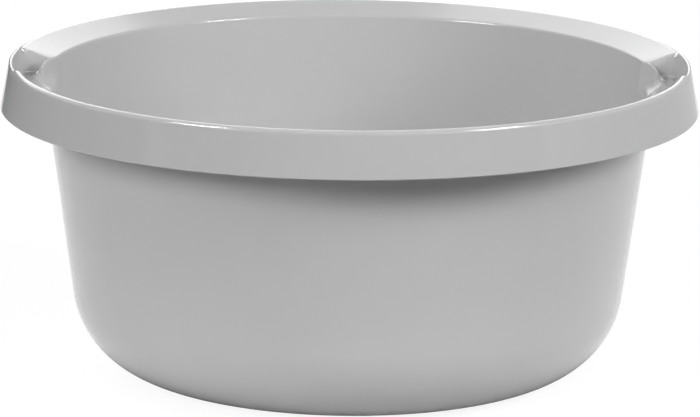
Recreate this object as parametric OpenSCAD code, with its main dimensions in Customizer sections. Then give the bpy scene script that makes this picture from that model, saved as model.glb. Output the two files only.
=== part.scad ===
// Round mixing tub: one thin-walled moulding with a sloped rim that is steeper along the
// front, an outer skirt and a hand grip sunk into the rim at the left and at the right.
// Lengths in millimetres. Z is the tub's axis, the floor is Z = 0 and the front is -Y.
// Sections are drawn as [radius, height] and turned about Z.

/* [Overall] */
// Diameter across the skirt's lower edge
tub_d = 400; // [340:1:460]
// Height from the floor to the crest of the rim
tub_h = 180; // [140:1:220]

/* [Bowl] */
// Thickness of the moulded wall
wall_t = 2.4; // [1.6:0.1:2.8]
// Lean of the bowl's wall from upright, in degrees
wall_draft = 7.8; // [4:0.1:11]
// Outside radius of the curve between wall and base
bottom_r = 53; // [25:1:70]

/* [Base] */
// Width of the flat ring that the tub stands on
standing_w = 14; // [8:1:30]
// Rise of the base panel's underside above the floor
panel_rise = 2; // [1:0.25:4]
// Width of the sloped step around the base panel
step_w = 6; // [3:0.5:12]
// Diameter of the moulding stub under the middle of the base
stub_d = 6; // [3:0.5:12]
// Length of the moulding stub
stub_l = 0.8; // [0.4:0.1:0.9]

/* [Rim] */
// Width of the rim from its inner edge to the crest
rim_w = 19; // [15:0.5:26]
// Outside radius of the crest
crest_r = 3; // [2.9:0.1:5]
// Drop of the rim's top from the crest to its inner edge
rim_drop = 6; // [3:0.5:9]
// Rounding of the rim's inner edge
lip_r = 4; // [2.9:0.1:6]
// How far the front rim's inner edge lies below the floor of a grip's pocket
front_fall = 2; // [0:0.5:3]

/* [Skirt] */
// Height of the skirt, from its lower edge to the crest
skirt_h = 26; // [20:1:40]
// How far the skirt's lower edge stands out from the crest
skirt_flare = 7.5; // [5:0.5:12]
// Rounding of thin edges
edge_r = 0.6; // [0.3:0.1:0.7]

/* [Grips] */
// Width of a grip's pocket along the crest
grip_w = 70; // [50:1:100]
// Depth of the pocket's floor below the crest
grip_depth = 14.5; // [10:0.5:16]
// Rounding between the pocket's floor and the inside of the bowl
grip_edge_r = 7; // [3:0.5:9]
// Rounding of the pocket's upright corner at its back end
grip_corner_r = 8; // [3:0.5:9]
// Lean of the pocket's outer wall from upright, in degrees
grip_draft = 2; // [1:0.5:4]

/* [Hidden] */
$fn = 180;
arc_steps = 8;
plastic = [0.72, 0.72, 0.72];

function unit(a) = [cos(a), sin(a)];

// Points of an arc from angle a0 to angle a1
function arc(c, r, a0, a1) =
    [for (i = [0:arc_steps]) c + r * unit(a0 + (a1 - a0) * i / arc_steps)];

// Centre of the rounding r of a corner p whose two faces have outward normals at a0 and a1
function corner_centre(p, r, a0, a1) = p - r * (unit(a0) + unit(a1)) / (1 + cos(a1 - a0));

// Arc that rounds that corner
function corner(p, r, a0, a1) = arc(corner_centre(p, r, a0, a1), r, a0, a1);

// Crest and rim, measured in from the overall diameter
crest_d = tub_d - 2 * skirt_flare;
lip = [crest_d / 2 - rim_w, tub_h - rim_drop];

// Bowl: radius of the wall's two faces at height z
wall_in_a = 180 - wall_draft;
function wall_in(z) = [lip.x - (lip.y - z) * tan(wall_draft), z];
function wall_out(z) = wall_in(z) + [wall_t / cos(wall_draft), 0];
bottom_c = [wall_out(bottom_r).x - bottom_r / cos(wall_draft), bottom_r];
panel_r = bottom_c.x - standing_w;

// Skirt: its outer face touches the crest's circle and ends at the lower edge
crest_c = [crest_d / 2, tub_h - crest_r];
skirt_end = [tub_d / 2, tub_h - skirt_h];
to_skirt = skirt_end - crest_c;
skirt_a = atan2(to_skirt.y, to_skirt.x) + acos(crest_r / norm(to_skirt));
function skirt_out(z) = [skirt_end.x - (z - skirt_end.y) * tan(skirt_a), z];
function skirt_in(z) = skirt_out(z) - [wall_t / cos(skirt_a), 0];

// Rim: its top touches the crest's circle and falls to an inner edge p
function rim_angle(p) =
    (atan2(p.y - crest_c.y, p.x - crest_c.x) + 360) % 360 - acos(crest_r / norm(p - crest_c));
function lip_centre(p) = corner_centre(p, lip_r, wall_in_a, rim_angle(p));

// Grip: pocket floor, and the angles of the pocket and of its back end wall
floor_z = tub_h - grip_depth;
front_lip = wall_in(floor_z - front_fall);
floor_edge_c = corner_centre(wall_in(floor_z), grip_edge_r, wall_in_a, 90);
pocket_a = asin(grip_w / crest_d);
pocket_r = skirt_in(tub_h).x;
pocket_end = [pocket_r - grip_depth * tan(grip_draft), floor_z];
grip_a = asin((grip_w + 2 * wall_t) / crest_d);

// Where the rim and the grips begin: above the bowl's wall, and above the skirt
wall_end_in = wall_in(floor_z - grip_edge_r - 3);
wall_end_out = wall_end_in - wall_t * unit(wall_in_a);
skirt_top = floor_z - wall_t;

// Turns a section about Z from angle a0 to angle a1
module turned(a0, a1) {
    rotate([0, 0, a0])
        rotate_extrude(angle = a1 - a0)
            children();
}

module base_panel() {
    color(plastic) {
        rotate_extrude()
            polygon([
                [0, panel_rise], [panel_r - step_w, panel_rise], [panel_r, 0],
                [panel_r, wall_t], [panel_r - step_w, panel_rise + wall_t], [0, panel_rise + wall_t]
            ]);
        translate([0, 0, panel_rise - stub_l])
            cylinder(d = stub_d, h = stub_l + wall_t / 2);
    }
}

module standing_ring() {
    color(plastic)
        rotate_extrude()
            translate([panel_r, 0])
                square([standing_w, wall_t]);
}

module bottom_curve() {
    reach = 2 * bottom_r;
    color(plastic)
        rotate_extrude()
            translate(bottom_c)
                intersection() {
                    difference() {
                        circle(bottom_r);
                        circle(bottom_r - wall_t);
                    }
                    polygon([[0, 0], [0, -reach], [reach, -reach], reach * unit(-wall_draft)]);
                }
}

module bowl_wall() {
    start = unit(-wall_draft);
    color(plastic)
        rotate_extrude()
            polygon([
                bottom_c + bottom_r * start, wall_end_out,
                wall_end_in, bottom_c + (bottom_r - wall_t) * start
            ]);
}

module skirt() {
    end_in = skirt_in(skirt_end.y);
    color(plastic)
        rotate_extrude()
            polygon(concat(
                [skirt_in(skirt_top), skirt_out(skirt_top)],
                corner(skirt_end, edge_r, skirt_a, -90),
                corner(end_in, edge_r, -90, skirt_a - 180)
            ));
}

// Section of the rim with its inner edge at p: inner edge, sloped top, crest and upper skirt
module rim_section(p) {
    a = rim_angle(p);
    c = lip_centre(p);
    polygon(concat(
        [wall_end_out, wall_end_in],
        arc(c, lip_r, wall_in_a, a),
        arc(crest_c, crest_r, a, skirt_a),
        [skirt_out(skirt_top), skirt_in(skirt_top)],
        arc(crest_c, crest_r - wall_t, skirt_a, a),
        arc(c, lip_r - wall_t, a, wall_in_a)
    ));
}

// Web that closes the hollow under the front rim, with its edges in the middle of the wall
module web_section() {
    a = rim_angle(front_lip);
    mid = wall_t / 2;
    polygon(concat(
        [wall_end_in + wall_t * unit(90 - wall_draft) - mid * unit(wall_in_a)],
        arc(lip_centre(front_lip), lip_r - mid, wall_in_a, a),
        arc(crest_c, crest_r - mid, a, skirt_a),
        [(skirt_out(skirt_top + wall_t) + skirt_in(skirt_top + wall_t)) / 2]
    ));
}

// Section of a grip before its pocket is cut: rim and crest above, pocket shell below
module grip_section() {
    a = rim_angle(lip);
    polygon(concat(
        [wall_end_out, wall_end_in],
        arc(lip_centre(lip), lip_r, wall_in_a, a),
        arc(crest_c, crest_r, a, 90),
        corner(skirt_out(tub_h), edge_r, 90, skirt_a),
        [skirt_out(skirt_top)],
        arc(floor_edge_c, grip_edge_r - wall_t, 90, wall_in_a)
    ));
}

// Section of a pocket: its floor, its outer wall and a thin crest above that
module pocket_section() {
    above = tub_h + crest_r;
    inside = wall_end_in.x - grip_edge_r;
    edge = corner([pocket_r, tub_h], edge_r, 180 - grip_draft, 90);
    rounding = arc(floor_edge_c, grip_edge_r, wall_in_a, 90);
    polygon(concat(
        rounding,
        [pocket_end],
        edge,
        [[edge[arc_steps].x, above], [inside, above], [inside, rounding[0].y]]
    ));
}

// Plan of the left pocket: a sector with a rounded corner at its back end and open at its front end
module pocket_plan() {
    reach = 1.1 * pocket_r;
    corner_c = pocket_r - 0.95 * grip_corner_r;
    corner_a = pocket_a - asin(grip_corner_r / corner_c);
    side = corner_c * cos(pocket_a - corner_a);
    polygon([
        [0, 0], reach * unit(grip_a + 1), reach * unit(-corner_a),
        corner_c * unit(-corner_a), side * unit(-pocket_a)
    ]);
    translate(corner_c * unit(-corner_a))
        circle(grip_corner_r);
}

module grip_left() {
    color(plastic)
        rotate([0, 0, 180])
            difference() {
                turned(-grip_a, pocket_a) grip_section();
                intersection() {
                    turned(-grip_a, grip_a) pocket_section();
                    linear_extrude(tub_h + 2 * crest_r) pocket_plan();
                }
            }
}

module grip_right() {
    mirror([1, 0, 0])
        grip_left();
}

module rim_front() {
    half = 90 - pocket_a;
    inset = 0.1;
    web_a = grip_a - pocket_a;
    color(plastic)
        rotate([0, 0, -90]) {
            turned(-half, half) rim_section(front_lip);
            turned(inset - half, inset - half + web_a) web_section();
            turned(half - inset - web_a, half - inset) web_section();
        }
}

module rim_back() {
    half = 90 - grip_a;
    color(plastic)
        rotate([0, 0, 90])
            turned(-half, half) rim_section(lip);
}

base_panel();
standing_ring();
bottom_curve();
bowl_wall();
skirt();
rim_front();
rim_back();
grip_left();
grip_right();
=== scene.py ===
"""Looks of a round mixing tub: one grey moulding with a sloped rim, a skirt and two sunken grips.

Lengths are metres. Z is the tub's axis, the floor is Z = 0, the front is -Y and +X is the right-hand grip.
Sections are drawn as (radius, height) and carried around Z.
"""
import math

import bmesh
import bpy
import numpy as np
from mathutils import Matrix, Vector


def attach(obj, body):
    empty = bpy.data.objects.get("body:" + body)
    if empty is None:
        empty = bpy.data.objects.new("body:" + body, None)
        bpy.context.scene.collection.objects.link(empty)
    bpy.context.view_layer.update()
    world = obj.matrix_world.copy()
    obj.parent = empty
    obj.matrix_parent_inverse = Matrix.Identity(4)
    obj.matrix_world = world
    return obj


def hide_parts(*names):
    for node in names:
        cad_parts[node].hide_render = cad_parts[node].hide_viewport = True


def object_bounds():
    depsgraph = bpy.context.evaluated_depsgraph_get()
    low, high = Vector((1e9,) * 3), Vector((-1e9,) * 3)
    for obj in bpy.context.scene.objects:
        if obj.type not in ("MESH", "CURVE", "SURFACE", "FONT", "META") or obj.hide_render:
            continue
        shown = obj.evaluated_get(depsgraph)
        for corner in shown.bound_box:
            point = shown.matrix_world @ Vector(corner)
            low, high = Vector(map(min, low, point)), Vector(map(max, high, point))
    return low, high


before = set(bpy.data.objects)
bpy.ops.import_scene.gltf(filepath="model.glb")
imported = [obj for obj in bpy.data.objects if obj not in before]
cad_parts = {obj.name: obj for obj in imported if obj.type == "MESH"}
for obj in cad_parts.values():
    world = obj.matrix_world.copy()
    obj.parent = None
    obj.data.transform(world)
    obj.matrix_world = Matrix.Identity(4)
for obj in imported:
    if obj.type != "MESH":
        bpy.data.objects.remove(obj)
CAD_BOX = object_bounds()

# Sizes of the moulding. The overall radius is a little under the CAD's 200 mm, so that the round outline
# stays inside the CAD's facets
MM = 0.001
TUB_H = CAD_BOX[1].z
TUB_R = 199.94 * MM
WALL_T = 2.4 * MM
WALL_DRAFT = math.radians(7.8)
BOTTOM_R = 53 * MM
STANDING_W = 14 * MM
PANEL_RISE = 2 * MM
STEP_W = 6 * MM
STUB_R = 3 * MM
STUB_L = 0.8 * MM
STUB_ROUND = 0.3 * MM
RIM_W = 19 * MM
CREST_R = 3 * MM
RIM_DROP = 6 * MM
LIP_R = 2 * MM
FRONT_FALL = 2 * MM
SKIRT_H = 26 * MM
SKIRT_FLARE = 7.5 * MM
EDGE_R = 0.6 * MM
GRIP_W = 70 * MM
GRIP_DEPTH = 14.5 * MM
GRIP_EDGE_R = 7 * MM
GRIP_CORNER_R = 8 * MM

# Drop of the wall's top below the rounding of a grip's floor
WALL_TOP_DROP = 3 * MM

# Soft forms of a grip: lean of its walls, fillet of its floor, roundings of its edges, the thin crest
# outside the pocket and how far inside the pocket's ends it begins and is complete, the web at each end
# towards the bowl, which falls from the lip to the floor, the scoop by which the bowl widens towards the
# pocket, the turn over which the back rim becomes the front rim, the shoulders beside the pocket and the
# ease of its underside
END_LEAN = math.radians(5)
GRIP_DRAFT = math.radians(8)
FLOOR_FILLET = 1.5 * MM
TOP_ROUND = 0.6 * MM
THIN_CREST_R = 0.7 * MM
THIN_CREST_W = 1.6 * MM
THIN_CREST_BEGIN = 0.5 * MM
THIN_CREST_FULL = 6 * MM
WEB_T = 2.4 * MM
WEB_ROUND = 0.7 * MM
WEB_FOOT = math.radians(1.5)
SCOOP = 9 * MM
SCOOP_W = 17 * MM
SCOOP_FLAT = math.radians(5)
FRONT_FORM = math.radians(6)
SHOULDER = 5 * MM
UNDER_EASE = 1 * MM

# Fineness of the meshes: steps around the tub, a thin guard row at a piece's border, the angle of a sharp
# edge, and the distances within which points of an outline or of a mesh are one
AROUND = 360
GUARD = 0.02 * MM
GUARD_TURN = math.radians(0.02)
SHARP = math.radians(35)
SAME_POINT = 1e-9
SAME_VERTEX = 1e-7

# Steps along the sections that make a full turn
STUB_STEPS = 4
PANEL_STEPS = 12
PANEL_EDGE_POINTS = 25
STANDING_STEPS = 4
CURVE_STEPS = 56
WALL_STEPS = 24
SKIRT_STEPS = 6
SKIRT_EDGE_STEPS = 8


def unit(a):
    """Direction (cosine, sine) of an angle."""
    return np.array([math.cos(a), math.sin(a)])


def arc(centre, radius, start, end, steps):
    """Points of a circle's arc: centre + radius * (cos, sin) of angles evenly spaced from start to end."""
    a = np.linspace(start, end, steps + 1)
    return np.asarray(centre) + radius * np.stack([np.cos(a), np.sin(a)], 1)


def line(start, end, steps):
    """Points evenly spaced on the straight line from start to end."""
    t = np.linspace(0, 1, steps + 1)[:, None]
    return (1 - t) * np.asarray(start) + t * np.asarray(end)


def guarded(start, end, steps):
    """A straight line whose first and last steps are thin guard steps."""
    start, end = np.asarray(start), np.asarray(end)
    along = (end - start) / np.linalg.norm(end - start) * GUARD
    return np.concatenate([[start], line(start + along, end - along, steps), [end]])


def chain(*runs):
    """Joins runs of points and drops a point that repeats the one before it."""
    points = np.concatenate(runs)
    step = np.linalg.norm(np.diff(points, axis=0), axis=1)
    return points[np.concatenate([[True], step > SAME_POINT])]


def corner_centre(p, r, a0, a1):
    """Centre of the rounding r of corner p whose faces have outward normals at angles a0 and a1."""
    return np.asarray(p) - r * (unit(a0) + unit(a1)) / (1 + math.cos(a1 - a0))


# Bowl: the wall's two faces as a radius at a height
CREST = np.array([TUB_R - SKIRT_FLARE, TUB_H - CREST_R])
LIP = np.array([CREST[0] - RIM_W, TUB_H - RIM_DROP])
WALL_A = math.pi - WALL_DRAFT


def wall_in(z):
    """Inner face of the bowl's wall: a cone that narrows by the draft below the lip."""
    return LIP[0] - (LIP[1] - z) * math.tan(WALL_DRAFT)


def wall_out(z):
    """Outer face of the bowl's wall: the inner cone moved out by the wall's thickness."""
    return wall_in(z) + WALL_T / math.cos(WALL_DRAFT)


BOTTOM = np.array([wall_out(BOTTOM_R) - BOTTOM_R / math.cos(WALL_DRAFT), BOTTOM_R])
PANEL_R = BOTTOM[0] - STANDING_W

# Skirt: a cone that touches the crest's circle and ends at the lower edge
SKIRT_END = np.array([TUB_R, TUB_H - SKIRT_H])
TO_SKIRT = SKIRT_END - CREST
SKIRT_A = math.atan2(TO_SKIRT[1], TO_SKIRT[0]) + math.acos(CREST_R / np.linalg.norm(TO_SKIRT))


def skirt_out(z):
    """Outer face of the skirt: a cone that widens downwards to the lower edge."""
    return SKIRT_END[0] - (z - SKIRT_END[1]) * math.tan(SKIRT_A)


def skirt_in(z):
    """Inner face of the skirt: the outer cone moved in by the wall's thickness."""
    return skirt_out(z) - WALL_T / math.cos(SKIRT_A)


# Rim: its top touches the crest's circle and falls to an inner edge
def rim_edge(lip):
    """Angle of the rim's slope down to an inner edge, and the centre of that edge's rounding."""
    to_lip = np.asarray(lip) - CREST
    angle = math.atan2(to_lip[1], to_lip[0]) % math.tau - math.acos(CREST_R / np.linalg.norm(to_lip))
    return angle, corner_centre(lip, LIP_R, WALL_A, angle)


FLOOR_Z = TUB_H - GRIP_DEPTH
BACK_EDGE = rim_edge(LIP)
FRONT_EDGE = rim_edge((wall_in(FLOOR_Z - FRONT_FALL), FLOOR_Z - FRONT_FALL))

# Grip: pocket floor, pocket ends, and where the rim begins above the wall and above the skirt
FLOOR_EDGE = corner_centre((wall_in(FLOOR_Z), FLOOR_Z), GRIP_EDGE_R, WALL_A, math.pi / 2)
POCKET_A = math.asin(GRIP_W / 2 / CREST[0])
POCKET_R = skirt_out(TUB_H) - THIN_CREST_W
GRIP_A = POCKET_A + (WALL_T + SHOULDER) / POCKET_R
WALL_TOP_Z = FLOOR_Z - GRIP_EDGE_R - WALL_TOP_DROP
WALL_TOP_IN = np.array([wall_in(WALL_TOP_Z), WALL_TOP_Z])
WALL_TOP_OUT = WALL_TOP_IN - WALL_T * unit(WALL_A)
SKIRT_TOP = FLOOR_Z - WALL_T


def turned(points, angles):
    """Carries points (radius, height) around Z: x = r cos a, y = r sin a, z = height."""
    r, z = points[..., 0], points[..., 1]
    return np.stack([r * np.cos(angles), r * np.sin(angles), z + 0 * angles], -1)


def shell(name, grid, full_turn):
    """Closed mesh of a grid of points: rows run round a section, counter-clockwise, columns around Z.
    Four neighbours make a face. A part turn is closed by a flat face at each end, and points that
    fall together on the axis are merged."""
    rows, columns = grid.shape[:2]
    index = np.arange(rows * columns).reshape(rows, columns)
    nearer = index if full_turn else index[:, :-1]
    farther = np.roll(index, -1, axis=1) if full_turn else index[:, 1:]
    quads = np.stack([nearer, farther, np.roll(farther, -1, axis=0), np.roll(nearer, -1, axis=0)], -1)
    faces = quads.reshape(-1, 4).tolist()
    if not full_turn:
        faces += [index[:, 0].tolist(), index[::-1, -1].tolist()]
    mesh = bpy.data.meshes.new(name)
    mesh.from_pydata(grid.reshape(-1, 3).tolist(), [], faces)
    cleaner = bmesh.new()
    cleaner.from_mesh(mesh)
    bmesh.ops.remove_doubles(cleaner, verts=cleaner.verts, dist=SAME_VERTEX)
    cleaner.to_mesh(mesh)
    cleaner.free()
    mesh.shade_smooth()
    mesh.set_sharp_from_angle(angle=SHARP)
    made = bpy.data.objects.new(name, mesh)
    bpy.context.scene.collection.objects.link(made)
    return made


def ring(name, section):
    """A full turn of a closed section, given counter-clockwise."""
    angles = np.arange(AROUND) * (math.tau / AROUND)
    return shell(name, turned(section[:, None, :], angles[None, :]), True)


def base_panel_section():
    """Panel under the bowl: a disc raised above the floor, an eased step down around it, a stub below it."""
    stub_z = PANEL_RISE - STUB_L
    inner = PANEL_R - STEP_W
    bend = STEP_W / 4
    under = chain(
        line((0, stub_z), (STUB_R - STUB_ROUND, stub_z), STUB_STEPS),
        arc((STUB_R - STUB_ROUND, stub_z + STUB_ROUND), STUB_ROUND, -math.pi / 2, 0, STUB_STEPS),
        line((STUB_R, PANEL_RISE), (inner - bend, PANEL_RISE), PANEL_STEPS),
    )
    over_z = PANEL_RISE + WALL_T
    across = np.linspace(-1, 1, PANEL_EDGE_POINTS)
    ease = 0.5 - 0.5 * np.sin(across * math.pi / 2)
    reach = inner - bend + (across + 1) / 2 * (STEP_W + bend)
    low = np.stack([reach, PANEL_RISE * ease], 1)
    high = low[::-1] + (0, WALL_T)
    return chain(under, low, high, line((inner - bend, over_z), (0, over_z), PANEL_STEPS))


def standing_ring_section():
    """Flat ring that the tub stands on."""
    inside, outside = PANEL_R, BOTTOM[0]
    return np.concatenate([
        guarded((inside, 0), (outside, 0), STANDING_STEPS),
        guarded((outside, WALL_T), (inside, WALL_T), STANDING_STEPS)
    ])


def bottom_curve_section():
    """Curve between base and wall: two arcs about one centre, from straight down to the wall's lean."""
    floor_a, wall_a = -math.pi / 2, -WALL_DRAFT
    up = unit(math.pi / 2 - WALL_DRAFT) * GUARD
    out = arc(BOTTOM, BOTTOM_R, floor_a, wall_a, CURVE_STEPS)
    back = arc(BOTTOM, BOTTOM_R - WALL_T, wall_a, floor_a, CURVE_STEPS)
    return np.concatenate([
        out[:1], out[:1] + (GUARD, 0), out[1:-1], out[-1:] - up, out[-1:],
        back[:1], back[:1] - up, back[1:-1], back[-1:] + (GUARD, 0), back[-1:]
    ])


def bowl_wall_section():
    """Leaning wall of the bowl: two straight faces between the bottom curve and the rim."""
    start = unit(-WALL_DRAFT)
    return np.concatenate([
        guarded(BOTTOM + BOTTOM_R * start, WALL_TOP_OUT, WALL_STEPS),
        guarded(WALL_TOP_IN, BOTTOM + (BOTTOM_R - WALL_T) * start, WALL_STEPS)
    ])


def skirt_section():
    """Lower band of the skirt: two straight faces and a thin edge rounded on both sides."""
    z = SKIRT_END[1]
    inside = corner_centre((skirt_in(z), z), EDGE_R, -math.pi / 2, SKIRT_A - math.pi)
    outside = corner_centre(SKIRT_END, EDGE_R, SKIRT_A, -math.pi / 2)
    inner_edge = arc(inside, EDGE_R, SKIRT_A - math.pi, -math.pi / 2, SKIRT_EDGE_STEPS)
    outer_edge = arc(outside, EDGE_R, -math.pi / 2, SKIRT_A, SKIRT_EDGE_STEPS)
    return chain(
        guarded((skirt_in(SKIRT_TOP), SKIRT_TOP), inner_edge[0], SKIRT_STEPS), inner_edge, outer_edge,
        guarded(outer_edge[-1], (skirt_out(SKIRT_TOP), SKIRT_TOP), SKIRT_STEPS)
    )


# Rows of the rim's upper outline: wall, lip, inner slope, outer slope, inner crest, outer crest, skirt.
# Then the radius that divides the slope and the angle that divides the crest
WALL_ROWS, LIP_ROWS, SLOPE_ROWS, RISE_ROWS, CREST_ROWS, EDGE_ROWS, SKIRT_ROWS = 8, 16, 24, 40, 16, 14, 8
SLOPE_SPLIT = 187 * MM
CREST_SPLIT = math.radians(55)


def rim_upper(edge):
    """Upper outline of the plain rim from the wall to the skirt: lip arc, slope, crest arc."""
    slope_a, lip_c = edge
    lip = arc(lip_c, LIP_R, WALL_A, slope_a, LIP_ROWS)
    inner_crest = arc(CREST, CREST_R, slope_a, CREST_SPLIT, CREST_ROWS)
    outer_crest = arc(CREST, CREST_R, CREST_SPLIT, SKIRT_A, EDGE_ROWS)
    share = (SLOPE_SPLIT - lip[-1, 0]) / (inner_crest[0, 0] - lip[-1, 0])
    split = lip[-1] + share * (inner_crest[0] - lip[-1])
    return np.concatenate([
        guarded(WALL_TOP_IN, lip[0], WALL_ROWS - 2)[:-1], lip[:-1],
        line(lip[-1], split, SLOPE_ROWS)[:-1], line(split, inner_crest[0], RISE_ROWS)[:-1],
        inner_crest[:-1], outer_crest[:-1],
        guarded(outer_crest[-1], (skirt_out(SKIRT_TOP), SKIRT_TOP), SKIRT_ROWS - 2)
    ])


def pocket_upper(with_web):
    """Upper outline through a pocket, row by row beside the rim's: rounded floor edge and floor, or lip, web
    and floor, and then fillet, outer wall, thin crest, skirt."""
    floor_end = POCKET_R - FLOOR_FILLET - GRIP_DEPTH * math.tan(GRIP_DRAFT)
    fillet_c = np.array([floor_end, FLOOR_Z + FLOOR_FILLET])
    fillet = arc(fillet_c, FLOOR_FILLET, -math.pi / 2, 0, RISE_ROWS // 2)
    if with_web:
        slope_a, lip_c = BACK_EDGE
        edge = arc(lip_c, LIP_R, WALL_A, slope_a, LIP_ROWS)
        web_top = np.array([LIP[0] + WEB_T, edge[-1, 1]])
        web_foot = np.array([LIP[0] + WEB_T, FLOOR_Z])
        inner = np.concatenate([
            line(edge[-1], web_top, SLOPE_ROWS // 4)[:-1], line(web_top, web_foot, SLOPE_ROWS // 2)[:-1],
            line(web_foot, fillet[0], SLOPE_ROWS // 4)
        ])
    else:
        edge = arc(FLOOR_EDGE, GRIP_EDGE_R, WALL_A, math.pi / 2, LIP_ROWS)
        inner = line(edge[-1], fillet[0], SLOPE_ROWS)
    crest_c = thin_crest_centre(THIN_CREST_R)
    edge_c = np.array([POCKET_R + TOP_ROUND, TUB_H - TOP_ROUND])
    top = chain(arc(edge_c, TOP_ROUND, math.pi, math.pi / 2, CREST_ROWS // 2), [(crest_c[0], TUB_H)])
    outer = arc(crest_c, THIN_CREST_R, math.pi / 2, SKIRT_A, EDGE_ROWS)
    wall = line(fillet[-1], edge_c - (TOP_ROUND, 0), RISE_ROWS - RISE_ROWS // 2)
    spare = CREST_ROWS + 1 - len(top)
    top = np.concatenate([top[:-1], line(top[-2], top[-1], spare + 1)[1:]])
    return np.concatenate([
        guarded(WALL_TOP_IN, edge[0], WALL_ROWS - 2)[:-1], edge[:-1], inner[:-1], fillet[:-1], wall[:-1],
        top[:-1], outer[:-1],
        guarded(outer[-1], (skirt_out(SKIRT_TOP), SKIRT_TOP), SKIRT_ROWS - 2)
    ])


def thin_crest_centre(r):
    """Centre of a circle of radius r that touches the crest's height and the skirt's outer cone."""
    z = TUB_H - r
    return np.array([skirt_out(z) - r / math.cos(SKIRT_A), z])


# Rows of each stretch of the rim's lower outline
UNDER_ROWS = 12


def rim_lower(edge):
    """Lower outline of the plain rim, from the skirt's inner face to the bowl's outer face."""
    slope_a, lip_c = edge
    crest = arc(CREST, CREST_R - WALL_T, SKIRT_A, slope_a, UNDER_ROWS)
    lip = arc(lip_c, LIP_R - WALL_T, slope_a, WALL_A, UNDER_ROWS)
    return np.concatenate([
        guarded((skirt_in(SKIRT_TOP), SKIRT_TOP), crest[0], UNDER_ROWS - 2)[:-1], crest[:-1],
        line(crest[-1], lip[0], UNDER_ROWS)[:-1], lip[:-1], guarded(lip[-1], WALL_TOP_OUT, UNDER_ROWS - 2)
    ])


def pocket_lower():
    """Lower outline under a pocket, row by row beside the rim's: flat under the floor, then down the bowl."""
    start = np.array([skirt_in(SKIRT_TOP), SKIRT_TOP])
    edge = arc(FLOOR_EDGE, GRIP_EDGE_R - WALL_T, math.pi / 2, WALL_A, UNDER_ROWS)
    flat = line(start, edge[0], 3 * UNDER_ROWS)
    return np.concatenate([flat[:-1], edge[:-1], guarded(edge[-1], WALL_TOP_OUT, UNDER_ROWS - 2)])


def smooth_step(x, low, high):
    """Eased step from 0 at low to 1 at high: 3 t^2 - 2 t^3."""
    t = np.clip((x - low) / (high - low), 0, 1)
    return t * t * (3 - 2 * t)


def round_max(a, b, k):
    """Larger of two distances with their corner rounded to radius k."""
    return np.minimum(np.maximum(a, b), -k) + np.hypot(np.maximum(a + k, 0), np.maximum(b + k, 0))


def past_faces(r, z, edge):
    """Distances past the rim's straight faces: the bowl's wall, the slope and the skirt."""
    slope_a, lip_c = edge
    wall = (wall_in(z) - r) * math.cos(WALL_DRAFT)
    slope = (r - lip_c[0]) * math.cos(slope_a) + (z - lip_c[1]) * math.sin(slope_a) - LIP_R
    skirt = (r - skirt_out(z)) * math.cos(SKIRT_A)
    return wall, slope, skirt


def past_rim(r, z, edge):
    """Distance above the plain rim: to the wall, slope or skirt, or to the circles of lip and crest."""
    slope_a, lip_c = edge
    to_lip = np.arctan2(z - lip_c[1], r - lip_c[0]) % math.tau
    to_crest = np.arctan2(z - CREST[1], r - CREST[0]) % math.tau
    wall, slope, skirt = past_faces(r, z, edge)
    flat = np.maximum(np.maximum(wall, slope), skirt)
    on_lip = (to_lip > slope_a) & (to_lip < WALL_A)
    on_crest = (to_crest > SKIRT_A) & (to_crest < slope_a)
    lip = np.hypot(r - lip_c[0], z - lip_c[1]) - LIP_R
    crest = np.hypot(r - CREST[0], z - CREST[1]) - CREST_R
    return np.where(on_lip, lip, np.where(on_crest, crest, flat))


def past_thin_crest(r, z, edge):
    """Distance above the crest beside a pocket: a level top, the skirt, and the rim's slope and lip."""
    wall, slope, skirt = past_faces(r, z, edge)
    return np.maximum(round_max(z - TUB_H, skirt, THIN_CREST_R), round_max(wall, slope, LIP_R))


def web_share(a):
    """Height of the web towards the bowl: 1 at a pocket's ends, where it meets the lip, 0 at its foot."""
    return smooth_step(np.abs(a), WEB_FOOT, POCKET_A)


def past_pocket(r, z, a):
    """Distance outside a pocket's hollow, which is open above: floor, outer wall, leaning end walls and the
    falling web. Upright corners are rounded to GRIP_CORNER_R in plan, the floor's foot to FLOOR_FILLET, and
    the floor rounds down into the bowl by a circle of radius GRIP_EDGE_R."""
    depth = TUB_H - z
    end = (np.abs(a) - POCKET_A) * r * math.cos(END_LEAN) + depth * math.sin(END_LEAN)
    outer = (r - POCKET_R) * math.cos(GRIP_DRAFT) + depth * math.sin(GRIP_DRAFT)
    sides = round_max(end, outer, GRIP_CORNER_R)
    beside, above = np.minimum(r - FLOOR_EDGE[0], 0), np.maximum(z - FLOOR_EDGE[1], 0)
    floor = np.where(above > 0, GRIP_EDGE_R - np.hypot(beside, above), FLOOR_Z - z)
    web_top = FLOOR_Z - GRIP_EDGE_R + web_share(a) * (LIP[1] - FLOOR_Z + GRIP_EDGE_R)
    past_web = round_max(r - LIP[0] - WEB_T, z - web_top, WEB_ROUND)
    return np.maximum(round_max(sides, floor, FLOOR_FILLET), -past_web)


def front_share(a):
    """Share of the front rim's form at an angle: 0 behind the grip's middle, 1 towards the front."""
    return smooth_step(-a, 0, FRONT_FORM)


def scoop(r, z, a):
    """How far the bowl widens outwards at a pocket: most at its middle, from its floor's height upwards, and
    none at the grip's ends, at the wall's top and SCOOP_W outside the lip."""
    along = 1 - smooth_step(np.abs(a), SCOOP_FLAT, GRIP_A)
    upward = smooth_step(z, WALL_TOP_Z, FLOOR_Z)
    return SCOOP * along * upward * (1 - smooth_step(r, LIP[0], LIP[0] + SCOOP_W))


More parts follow.
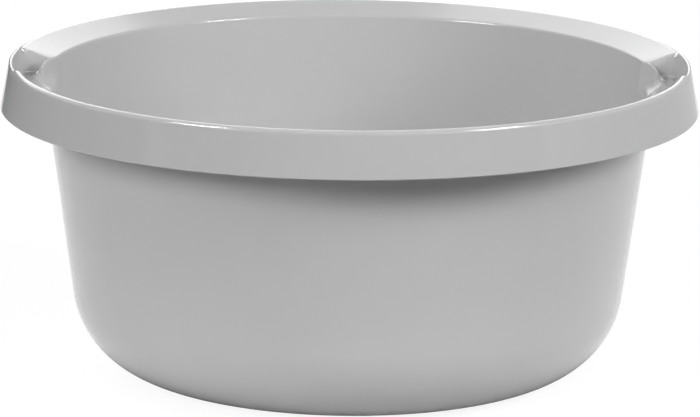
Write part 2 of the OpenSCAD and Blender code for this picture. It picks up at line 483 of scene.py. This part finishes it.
def past_grip(r, z, a):
    """Distance outside the grip's upper face: the rim, eased to the thin crest, less the pocket's hollow,
    with the edge between them rounded to TOP_ROUND. All of it is moved outwards by the scoop."""
    full, begin = POCKET_A - THIN_CREST_FULL / POCKET_R, POCKET_A - THIN_CREST_BEGIN / POCKET_R
    thin = 1 - smooth_step(np.abs(a), full, begin)
    r = r - scoop(r, z, a)
    front = front_share(a)
    plain = past_rim(r, z, BACK_EDGE) * (1 - front) + past_rim(r, z, FRONT_EDGE) * front
    crest = past_thin_crest(r, z, BACK_EDGE) * (1 - front) + past_thin_crest(r, z, FRONT_EDGE) * front
    return round_max(plain * (1 - thin) + crest * thin, -past_pocket(r, z, a), TOP_ROUND)


# Settling of points onto the grip: steps, the small shift that measures a slope, and the least squared
# slope that a step is divided by
SETTLE_STEPS = 24
SETTLE_SHIFT = 0.002 * MM
SETTLE_SLOPE = 0.2


def settled(r, z, a):
    """Moves points along the slope of past_grip towards zero: p - f grad f / |grad f|^2, step by step."""
    tiny = SETTLE_SHIFT
    for _ in range(SETTLE_STEPS):
        f = past_grip(r, z, a)
        by_r = (past_grip(r + tiny, z, a) - f) / tiny
        by_z = (past_grip(r, z + tiny, a) - f) / tiny
        by_a = (past_grip(r, z, a + tiny / r) - f) / tiny
        pace = f / np.maximum(by_r ** 2 + by_z ** 2 + by_a ** 2, SETTLE_SLOPE)
        r, z, a = r - pace * by_r, z - pace * by_z, a - pace * by_a / r
    return r, z, a


# Columns of a grip: where their bands begin and end beside the pocket's end, and the step in each band
NEAR_WALL, BEFORE_WALL, AFTER_WALL, LAST_GAP = 9 * MM, 4 * MM, 2 * MM, GUARD * 3
MIDDLE_STEP, NEAR_STEP, END_WALL_STEP, SHOULDER_STEP = 0.9 * MM, 0.25 * MM, 0.1 * MM, 0.3 * MM


def grip_angles():
    """Columns of a grip: close together on the end walls, wide apart in the middle and on the shoulders."""
    edge = POCKET_A * POCKET_R
    middle = np.arange(0, edge - NEAR_WALL, MIDDLE_STEP)
    near = np.arange(edge - NEAR_WALL, edge - BEFORE_WALL, NEAR_STEP)
    on_wall = np.arange(edge - BEFORE_WALL, edge + AFTER_WALL, END_WALL_STEP)
    beyond = np.arange(edge + AFTER_WALL, GRIP_A * POCKET_R - LAST_GAP, SHOULDER_STEP)
    half = np.concatenate([middle, near, on_wall, beyond]) / POCKET_R
    half = np.concatenate([half, [GRIP_A - GUARD_TURN, GRIP_A]])
    return np.concatenate([-half[:0:-1], half])


def between(back, front, a):
    """Outline of the plain rim beside each column of a grip, which falls from the back's to the front's."""
    return back[:, None, :] + front_share(a)[..., None] * (front - back)[:, None, :]


def grip(name, side):
    """A grip: the rim's outline eased into the pocket's across the end walls, its upper rows then settled
    onto the rounded form. side is 1 at the right and -1 at the left, which is the mirror image."""
    a = grip_angles()[None, :]
    lean = GRIP_DEPTH * math.tan(END_LEAN) / POCKET_R
    inside = 1 - np.clip((np.abs(a) - POCKET_A + lean) / lean, 0, 1)
    plain = between(rim_upper(BACK_EDGE), rim_upper(FRONT_EDGE), a)
    hollow = pocket_upper(False)[:, None, :]
    hollow = hollow + web_share(a)[..., None] * (pocket_upper(True)[:, None, :] - hollow)
    upper = plain + inside[..., None] * (hollow - plain)
    upper[..., 0] += scoop(upper[..., 0], upper[..., 1], a)
    r, z, turn = settled(upper[..., 0], upper[..., 1], a + 0 * upper[..., 0])
    under_end, ease = POCKET_A + WALL_T / POCKET_R, UNDER_EASE / POCKET_R
    below = 1 - smooth_step(np.abs(a), under_end - ease, under_end + ease)
    plain = between(rim_lower(BACK_EDGE), rim_lower(FRONT_EDGE), a)
    lower = plain + below[..., None] * (pocket_lower()[:, None, :] - plain)
    lower[..., 0] += scoop(lower[..., 0] - WALL_T, lower[..., 1], a)
    points = np.concatenate([np.stack([r, z], -1), lower])
    angles = np.concatenate([turn, a + 0 * lower[..., 0]])
    grid = turned(points, angles)[::-1] * (side, 1, 1)
    return shell(name, grid[:, ::side], False)


def rim(name, facing, edge):
    """Half of the plain rim, between the two grips: one section carried over a part turn."""
    section = np.concatenate([rim_upper(edge), rim_lower(edge)])[::-1]
    half = math.pi / 2 - GRIP_A
    inner = np.linspace(-half + GUARD_TURN, half - GUARD_TURN, AROUND)
    angles = np.concatenate([[-half], inner, [half]]) + facing
    return shell(name, turned(section[:, None, :], angles[None, :]), False)


class Flow:
    """A socket of a node tree that can stand in Python sums: an operator adds a Math node."""

    def __init__(self, tree, socket=None):
        self.tree = tree
        self.socket = socket

    def node(self, kind, settings=(), inputs=(), output=0):
        """Adds a node, makes its settings, sets or links its inputs and gives one of its outputs."""
        made = self.tree.nodes.new("ShaderNode" + kind)
        for name, value in dict(settings).items():
            setattr(made, name, value)
        for name, value in dict(inputs).items():
            if isinstance(value, Flow):
                self.tree.links.new(value.socket, made.inputs[name])
            else:
                made.inputs[name].default_value = value
        return Flow(self.tree, made.outputs[output] if len(made.outputs) else None)

    def sum(self, operation, first, second):
        """A Math node."""
        return self.node("Math", {"operation": operation}, {0: first, 1: second})

    def ring(self, near, far, inside, outside):
        """An eased change from one value to another between two distances from the object's origin."""
        place = self.node("TexCoord", output="Object")
        reach = self.node("VectorMath", {"operation": "LENGTH"}, {0: place}, output="Value")
        return self.node("MapRange", {"interpolation_type": "SMOOTHSTEP"}, {
            "Value": reach, "From Min": near, "From Max": far, "To Min": inside, "To Max": outside
        })

    def __add__(self, other):
        return self.sum("ADD", self, other)

    def __radd__(self, other):
        return self.sum("ADD", other, self)

    def __sub__(self, other):
        return self.sum("SUBTRACT", self, other)

    def __rsub__(self, other):
        return self.sum("SUBTRACT", other, self)

    def __mul__(self, other):
        return self.sum("MULTIPLY", self, other)

    def __rmul__(self, other):
        return self.sum("MULTIPLY", other, self)


# Plastic: the two greys of its mottling, roughness and refraction, then scale and detail of its noises,
# their shares of the roughness, and heights and strengths of its waves and its grain
PLASTIC = (0.545, 0.545, 0.548, 1)
PLASTIC_PALE = (0.57, 0.57, 0.572, 1)
PLASTIC_ROUGHNESS = 0.11
PLASTIC_IOR = 1.5
MOTTLE = {"Scale": 38.0, "Detail": 4.0, "Roughness": 0.6}
GRAIN = {"Scale": 2400.0, "Detail": 2.0}
WAVES = {"Scale": 14.0, "Detail": 1.0}
NOISE_MIDDLE = 0.5
MOTTLE_SHARE = 0.06
GRAIN_SHARE = 0.03
WAVE_HEIGHT = 0.12 * MM
WAVE_STRENGTH = 1.0
GRAIN_HEIGHT = 0.01 * MM
GRAIN_STRENGTH = 0.25


def grey_plastic():
    """Light grey polypropylene: faint mottling, a satin grain and the slow waves of a thin moulding."""
    material = bpy.data.materials.new("grey_plastic")
    material.use_nodes = True
    tree = material.node_tree
    tree.nodes.clear()
    flow = Flow(tree)
    place = flow.node("TexCoord", output="Object")
    mottle = flow.node("TexNoise", inputs={"Vector": place, **MOTTLE})
    grain = flow.node("TexNoise", inputs={"Vector": place, **GRAIN})
    waves = flow.node("TexNoise", inputs={"Vector": place, **WAVES})
    tint = flow.node("Mix", {"data_type": "RGBA"}, {0: mottle, 6: PLASTIC, 7: PLASTIC_PALE}, output=2)
    uneven = (mottle - NOISE_MIDDLE) * MOTTLE_SHARE
    rough = PLASTIC_ROUGHNESS + uneven + (grain - NOISE_MIDDLE) * GRAIN_SHARE
    slow = flow.node("Bump", inputs={"Strength": WAVE_STRENGTH, "Distance": WAVE_HEIGHT, "Height": waves})
    fine = flow.node("Bump", inputs={
        "Strength": GRAIN_STRENGTH, "Distance": GRAIN_HEIGHT, "Height": grain, "Normal": slow
    })
    surface = flow.node("BsdfPrincipled", inputs={
        "Base Color": tint, "Roughness": rough, "Normal": fine, "IOR": PLASTIC_IOR
    })
    flow.node("OutputMaterial", inputs={"Surface": surface})
    return material


def dress(piece, node, material):
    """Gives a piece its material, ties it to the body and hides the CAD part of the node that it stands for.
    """
    piece.data.materials.append(material)
    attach(piece, "root")
    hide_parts(node)


def make_tub():
    """All pieces of the moulding, each in the place of its CAD node."""
    material = grey_plastic()
    sections = {
        "base_panel": base_panel_section(),
        "standing_ring": standing_ring_section(),
        "bottom_curve": bottom_curve_section(),
        "bowl_wall": bowl_wall_section(),
        "skirt": skirt_section(),
    }
    halves = (("rim_front", -math.pi / 2, FRONT_EDGE), ("rim_back", math.pi / 2, BACK_EDGE))
    for node, section in sections.items():
        dress(ring("tub_" + node, section), node, material)
    for node, facing, edge in halves:
        dress(rim("tub_" + node, facing, edge), node, material)
    for node, side in (("grip_right", 1), ("grip_left", -1)):
        dress(grip("tub_" + node, side), node, material)


# Camera fitted to the photograph's edges. Its pixels are those of the photograph's frame
IMAGE_W, IMAGE_H = 700, 417
CENTRE_PIXEL = (348.48, 214.70)
FOCAL_PIXELS = 5555
SENSOR_W = 36.0
CAMERA_DISTANCE = 3.2
CAMERA_ELEVATION = math.radians(12.76)
CAMERA_AZIMUTH = -0.011
CAMERA_ROLL = math.radians(0.552)
CAMERA_CLIP = (0.05, 50)
LOOK_AT = Vector((0, 0, TUB_H / 2))


def make_camera():
    """Camera at the photograph's viewing angle, looking at the middle of the tub."""
    data = bpy.data.cameras.new("photo_camera")
    data.sensor_width = SENSOR_W
    data.lens = FOCAL_PIXELS / IMAGE_W * SENSOR_W
    data.shift_x = (IMAGE_W / 2 - CENTRE_PIXEL[0]) / IMAGE_W
    data.shift_y = (CENTRE_PIXEL[1] - IMAGE_H / 2) / IMAGE_W
    data.clip_start, data.clip_end = CAMERA_CLIP
    camera = bpy.data.objects.new("photo_camera", data)
    level = math.cos(CAMERA_ELEVATION)
    away = Vector((
        math.sin(CAMERA_AZIMUTH) * level, -math.cos(CAMERA_AZIMUTH) * level, math.sin(CAMERA_ELEVATION)
    ))
    aim = (-away).to_track_quat("-Z", "Y").to_matrix().to_4x4()
    camera.matrix_world = (
        Matrix.Translation(LOOK_AT + away * CAMERA_DISTANCE) @ aim @ Matrix.Rotation(CAMERA_ROLL, 4, "Z")
    )
    bpy.context.scene.collection.objects.link(camera)
    bpy.context.scene.camera = camera


# Floor: half its width, the distances between which its bounced light falls off, the greys that it bounces
# near and far, and, where it is seen, its white, the share of its glow and the glow's strength
FLOOR_REACH = 12.0
FLOOR_NEAR = 0.26
FLOOR_FAR = 0.42
FLOOR_PALE = 0.72
FLOOR_DARK = 0.08
FLOOR_WHITE = 0.9
FLOOR_GLOW = 0.8
FLOOR_STRENGTH = 1.12


def shown_rays(flow):
    """1 for a ray from the camera, in a reflection or through glass, 0 for light that falls on the tub."""
    camera = flow.node("LightPath", output="Is Camera Ray")
    glossy = flow.node("LightPath", output="Is Glossy Ray")
    through = flow.node("LightPath", output="Is Transmission Ray")
    return flow.sum("MINIMUM", camera + glossy + through, 1.0)


def make_sheet(name, corners):
    """A flat piece of the stage, and the empty node tree of its material."""
    mesh = bpy.data.meshes.new(name)
    mesh.from_pydata(corners, [], [range(len(corners))])
    sheet = bpy.data.objects.new(name, mesh)
    bpy.context.scene.collection.objects.link(sheet)
    material = bpy.data.materials.new(name)
    material.use_nodes = True
    material.node_tree.nodes.clear()
    mesh.materials.append(material)
    return sheet, material.node_tree


def make_floor():
    """Pale floor. Seen by the camera or in a reflection it is mostly white, with the tub's shadow on it.
    The light that it throws back comes from a pale patch around the tub."""
    corners = [(x * FLOOR_REACH, y * FLOOR_REACH, 0) for x, y in ((-1, -1), (1, -1), (1, 1), (-1, 1))]
    tree = make_sheet("floor", corners)[1]
    flow = Flow(tree)
    shown = shown_rays(flow)
    bounce = flow.ring(FLOOR_NEAR, FLOOR_FAR, FLOOR_PALE, FLOOR_DARK)
    paint = flow.node("BsdfDiffuse", inputs={"Color": bounce + shown * (FLOOR_WHITE - bounce)})
    glow = flow.node("Emission", inputs={"Color": (1, 1, 1, 1), "Strength": FLOOR_STRENGTH})
    surface = flow.node("MixShader", inputs={0: shown * FLOOR_GLOW, 1: paint, 2: glow})
    flow.node("OutputMaterial", inputs={"Surface": surface})


# Boards around the tub that show in its gloss and nowhere else: name, degrees right of the front, width,
# grey level. All stand at one distance and have one height
BOARDS = (
    ("left_board", -115, 2.0, 0.1),
    ("front_board", 0, 3.0, 0.4),
    ("right_board", 115, 2.0, 0.75),
)
BOARD_AWAY = 0.8
BOARD_HEIGHT = 0.5

# Shade under the tub's bottom curve that shows in its gloss and nowhere else: a disc just above the floor,
# dark inside a radius, that pales to white at its edge
SHADE_DARK_R = 0.118
SHADE_R = 0.168
SHADE_LEVEL = 0.1
SHADE_Z = 0.2 * MM
SHADE_SIDES = 96


def make_gloss_sheet(name, corners, level):
    """A sheet that only reflections show, in the colour that level(flow) gives."""
    sheet, tree = make_sheet(name, corners)
    sheet.visible_camera = False
    sheet.visible_diffuse = False
    sheet.visible_transmission = False
    sheet.visible_shadow = False
    flow = Flow(tree)
    grey = flow.node("Emission", inputs={"Color": level(flow)})
    flow.node("OutputMaterial", inputs={"Surface": grey})
    return sheet


def make_board(name, right, width, level):
    """An upright board on the floor, turned towards the tub."""
    half = width / 2
    corners = [(-half, 0, 0), (half, 0, 0), (half, 0, BOARD_HEIGHT), (-half, 0, BOARD_HEIGHT)]
    board = make_gloss_sheet(name, corners, lambda flow: (level, level, level, 1))
    turn = Matrix.Rotation(math.radians(right), 4, "Z")
    board.matrix_world = turn @ Matrix.Translation((0, -BOARD_AWAY, 0))


def make_shade():
    """The shade under the tub."""
    turns = [math.tau * i / SHADE_SIDES for i in range(SHADE_SIDES)]
    corners = [(SHADE_R * math.cos(a), SHADE_R * math.sin(a), SHADE_Z) for a in turns]
    make_gloss_sheet("shade", corners, lambda flow: flow.ring(SHADE_DARK_R, SHADE_R, SHADE_LEVEL, 1.0))


def make_world():
    """Surroundings that are white where the camera or a reflection looks and give no light of their own."""
    world = bpy.data.worlds.new("studio")
    world.use_nodes = True
    tree = world.node_tree
    tree.nodes.clear()
    flow = Flow(tree)
    surface = flow.node("Background", inputs={"Color": (1, 1, 1, 1), "Strength": shown_rays(flow)})
    flow.node("OutputWorld", inputs={"Surface": surface})
    bpy.context.scene.world = world


# Lamps around the tub that don't show in its gloss: name, degrees right of the front, degrees above the
# floor, metres away, size, watts. All are turned to one point
LAMPS = (
    ("front_left", -35, 27, 2.4, (1.0, 0.8), 27),
    ("front_right", 30, 36, 2.4, (1.0, 0.8), 11),
    ("right", 65, 26, 2.4, (1.0, 0.8), 29),
    ("left", -72, 9, 2.4, (1.0, 0.8), 6.5),
    ("back_left", -135, 40, 2.4, (1.0, 0.8), 12),
    ("back_right", 135, 40, 2.4, (1.0, 0.8), 3),
    ("back", 180, 40, 2.4, (1.6, 0.9), 6),
)
LAMP_AIM = Vector((0, 0, 0.1))

# Lamps that show in the tub's gloss and give no other light: the same values, and a turn in degrees about
# their own axis
GLOSS_LAMPS = (
    ("back_panel", 180, 13, 2.6, (3.4, 1.74), 25, 51),
    ("glint_left", -63, 49, 2.4, (0.6, 0.4), 34, 0),
    ("glint_right", 63, 49, 2.4, (0.6, 0.4), 34, 0),
)


def make_lamp(name, right, up, away, size, power):
    """A rectangular soft lamp at two angles and a distance from the tub, turned towards it."""
    data = bpy.data.lights.new(name, "AREA")
    data.shape = "RECTANGLE"
    data.size, data.size_y = size
    data.energy = power
    lamp = bpy.data.objects.new(name, data)
    turn = Matrix.Rotation(math.radians(right), 4, "Z") @ Matrix.Rotation(math.radians(90 - up), 4, "X")
    lamp.matrix_world = Matrix.Translation(LAMP_AIM) @ turn @ Matrix.Translation((0, 0, away))
    lamp.visible_camera = False
    bpy.context.scene.collection.objects.link(lamp)
    return lamp


def make_gloss_lamp(name, right, up, away, size, power, tilt):
    """A lamp that only reflections show, turned by a tilt about the line to the tub."""
    lamp = make_lamp(name, right, up, away, size, power)
    lamp.matrix_world = lamp.matrix_world @ Matrix.Rotation(math.radians(tilt), 4, "Z")
    lamp.visible_diffuse = False


bpy.context.scene.view_settings.view_transform = "Standard"
make_tub()
make_camera()
make_floor()
for board_row in BOARDS:
    make_board(*board_row)
make_shade()
make_world()
for lamp_row in LAMPS:
    make_lamp(*lamp_row).visible_glossy = False
for lamp_row in GLOSS_LAMPS:
    make_gloss_lamp(*lamp_row)

bpy.context.view_layer.update()
